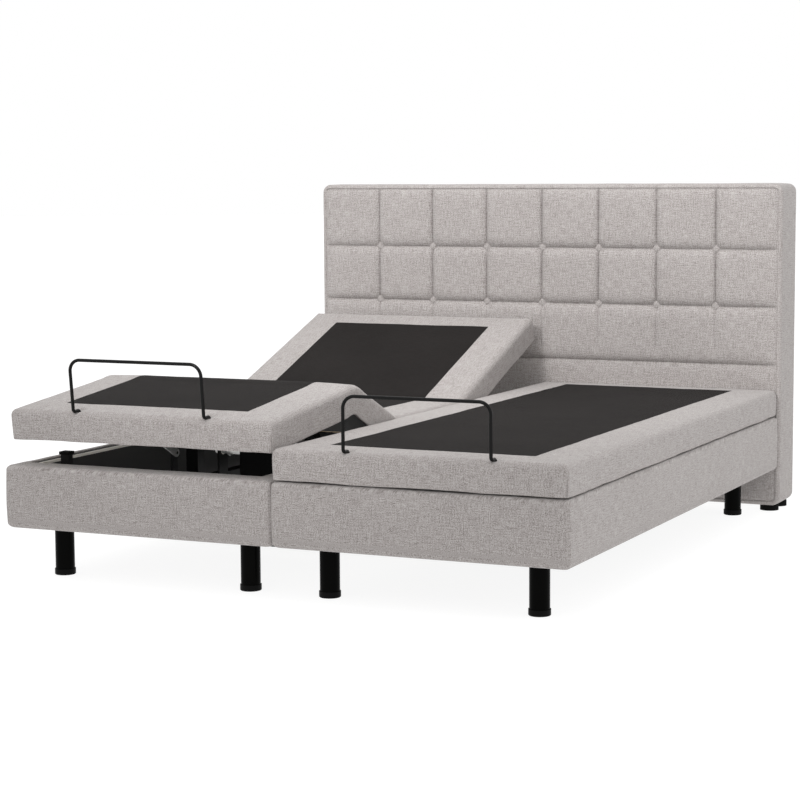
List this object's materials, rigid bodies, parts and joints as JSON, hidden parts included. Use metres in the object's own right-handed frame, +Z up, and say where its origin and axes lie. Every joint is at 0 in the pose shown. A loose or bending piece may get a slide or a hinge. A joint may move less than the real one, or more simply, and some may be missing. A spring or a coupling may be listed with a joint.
{
  "type": "adjustable bed base",
  "caption": "Upholstered adjustable bed base: two motor bases side by side with folding decks, mattress retainer bars, round legs and a button-tufted headboard.",
  "frame": {"origin": "centre of the footprint on the floor", "axes": "+Z up, +Y from the foot end towards the headboard, +X to the right seen from the foot end"},
  "size_m": [1.814, 2.295, 1.163],
  "materials": {
    "upholstery_fabric": "woven, heathered light grey",
    "black_fabric": "matt black non-slip cloth",
    "black_steel": "semi-gloss black powder coat",
    "bright_steel": "zinc plated",
    "black_plastic": "moulded black plastic",
    "white_nylon": "natural nylon",
    "black_rubber": "matt rubber",
    "pale_batten": "primed timber",
    "board_wood": "plywood"
  },
  "bodies": {
    "root": {"headboard_frame": "upholstery_fabric", "headboard_pad": "upholstery_fabric", "headboard_buttons": "upholstery_fabric", "headboard_glides": "black_plastic", "joining_plates": "black_steel", "legs": "black_steel", "leg_caps": "black_plastic", "frame_tubes": "black_steel", "frame_posts": "black_steel", "rest_pads": "black_rubber", "rail_liners": "black_fabric", "ledge_battens": "pale_batten", "inner_rails": "upholstery_fabric", "head_rails": "upholstery_fabric", "tube_bushes": "white_nylon", "hinge_brackets": "black_steel", "drive_housings": "black_plastic", "drive_motors": "bright_steel", "foot_rail_left": "upholstery_fabric", "outer_rail_left": "upholstery_fabric", "seat_board_left": "board_wood", "seat_pad_left": "upholstery_fabric", "foot_rail_right": "upholstery_fabric", "outer_rail_right": "upholstery_fabric", "seat_board_right": "board_wood", "seat_pad_right": "upholstery_fabric"},
    "left_back": {"back_board_left": "board_wood", "back_pad_left": "upholstery_fabric", "back_irons_left": "black_steel"},
    "left_thigh": {"thigh_board_left": "board_wood", "thigh_pad_left": "upholstery_fabric", "thigh_irons_left": "black_steel"},
    "left_foot": {"foot_board_left": "board_wood", "foot_pad_left": "upholstery_fabric", "foot_irons_left": "black_steel", "retainer_bar_left": "black_steel"},
    "left_back_lift": {"back_lift_left": "black_steel", "back_lift_shoes_left": "white_nylon"},
    "left_leg_lift": {"leg_lift_left": "black_steel", "leg_lift_shoes_left": "white_nylon"},
    "left_back_slider": {"back_slider_left": "white_nylon"},
    "left_leg_slider": {"leg_slider_left": "white_nylon"},
    "left_foot_links": {"foot_links_left": "black_steel"},
    "right_back": {"back_board_right": "board_wood", "back_pad_right": "upholstery_fabric", "back_irons_right": "black_steel"},
    "right_thigh": {"thigh_board_right": "board_wood", "thigh_pad_right": "upholstery_fabric", "thigh_irons_right": "black_steel"},
    "right_foot": {"foot_board_right": "board_wood", "foot_pad_right": "upholstery_fabric", "foot_irons_right": "black_steel", "retainer_bar_right": "black_steel"},
    "right_back_lift": {"back_lift_right": "black_steel", "back_lift_shoes_right": "white_nylon"},
    "right_leg_lift": {"leg_lift_right": "black_steel", "leg_lift_shoes_right": "white_nylon"},
    "right_back_slider": {"back_slider_right": "white_nylon"},
    "right_leg_slider": {"leg_slider_right": "white_nylon"},
    "right_foot_links": {"foot_links_right": "black_steel"}
  },
  "joints": [
    {"name": "left_back_tilt", "type": "hinge", "parent": "root", "child": "left_back", "pos_m": [-0.45, 0.2225, 0.343], "axis": [1, 0, 0], "range_deg": [-20, 40]},
    {"name": "left_thigh_tilt", "type": "hinge", "parent": "root", "child": "left_thigh", "pos_m": [-0.45, -0.3055, 0.343], "axis": [-1, 0, 0], "range_deg": [-24, 12]},
    {"name": "left_knee_fold", "type": "hinge", "parent": "left_thigh", "child": "left_foot", "pos_m": [-0.45, -0.59053, 0.4699], "axis": [1, 0, 0], "range_deg": [-30.01, 15.01]},
    {"name": "left_back_lift_turn", "type": "hinge", "parent": "root", "child": "left_back_lift", "pos_m": [-0.45, 0.2455, 0.303], "axis": [1, 0, 0], "range_deg": [-20.01, 40.01]},
    {"name": "left_leg_lift_turn", "type": "hinge", "parent": "root", "child": "left_leg_lift", "pos_m": [-0.45, -0.3185, 0.303], "axis": [-1, 0, 0], "range_deg": [-24.01, 12.01]},
    {"name": "left_foot_link_turn", "type": "hinge", "parent": "root", "child": "left_foot_links", "pos_m": [-0.45, -0.5756, 0.32], "axis": [-1, 0, 0], "range_deg": [-26.31, 13.16]},
    {"name": "left_back_slider_travel", "type": "slide", "parent": "root", "child": "left_back_slider", "axis": [0, 1, 0], "range_m": [-0.02002, 0.04002]},
    {"name": "left_leg_slider_travel", "type": "slide", "parent": "root", "child": "left_leg_slider", "axis": [0, -1, 0], "range_m": [-0.02474, 0.01238]},
    {"name": "right_back_tilt", "type": "hinge", "parent": "root", "child": "right_back", "pos_m": [0.45, 0.2225, 0.343], "axis": [1, 0, 0], "range_deg": [0, 60]},
    {"name": "right_thigh_tilt", "type": "hinge", "parent": "root", "child": "right_thigh", "pos_m": [0.45, -0.3055, 0.343], "axis": [-1, 0, 0], "range_deg": [0, 36]},
    {"name": "right_knee_fold", "type": "hinge", "parent": "right_thigh", "child": "right_foot", "pos_m": [0.45, -0.6175, 0.343], "axis": [1, 0, 0], "range_deg": [0, 45.01]},
    {"name": "right_back_lift_turn", "type": "hinge", "parent": "root", "child": "right_back_lift", "pos_m": [0.45, 0.2455, 0.303], "axis": [1, 0, 0], "range_deg": [0, 60.01]},
    {"name": "right_leg_lift_turn", "type": "hinge", "parent": "root", "child": "right_leg_lift", "pos_m": [0.45, -0.3185, 0.303], "axis": [-1, 0, 0], "range_deg": [0, 36.01]},
    {"name": "right_foot_link_turn", "type": "hinge", "parent": "root", "child": "right_foot_links", "pos_m": [0.45, -0.5756, 0.32], "axis": [-1, 0, 0], "range_deg": [0, 39.47]},
    {"name": "right_back_slider_travel", "type": "slide", "parent": "root", "child": "right_back_slider", "axis": [0, 1, 0], "range_m": [0, 0.06002]},
    {"name": "right_leg_slider_travel", "type": "slide", "parent": "root", "child": "right_leg_slider", "axis": [0, -1, 0], "range_m": [0, 0.0371]}
  ],
  "couplings": [
    {"joint": "left_knee_fold", "follows": "left_thigh_tilt", "ratio": 1.25},
    {"joint": "left_back_lift_turn", "follows": "left_back_tilt", "ratio": 1},
    {"joint": "left_leg_lift_turn", "follows": "left_thigh_tilt", "ratio": 1},
    {"joint": "left_foot_link_turn", "follows": "left_thigh_tilt", "ratio": 1.096},
    {"joint": "left_back_slider_travel", "follows": "left_back_tilt", "m_per_rad": 0.057296},
    {"joint": "left_leg_slider_travel", "follows": "left_thigh_tilt", "m_per_rad": 0.059018},
    {"joint": "right_knee_fold", "follows": "right_thigh_tilt", "ratio": 1.25},
    {"joint": "right_back_lift_turn", "follows": "right_back_tilt", "ratio": 1},
    {"joint": "right_leg_lift_turn", "follows": "right_thigh_tilt", "ratio": 1},
    {"joint": "right_foot_link_turn", "follows": "right_thigh_tilt", "ratio": 1.096},
    {"joint": "right_back_slider_travel", "follows": "right_back_tilt", "m_per_rad": 0.057296},
    {"joint": "right_leg_slider_travel", "follows": "right_thigh_tilt", "m_per_rad": 0.059018}
  ]
}
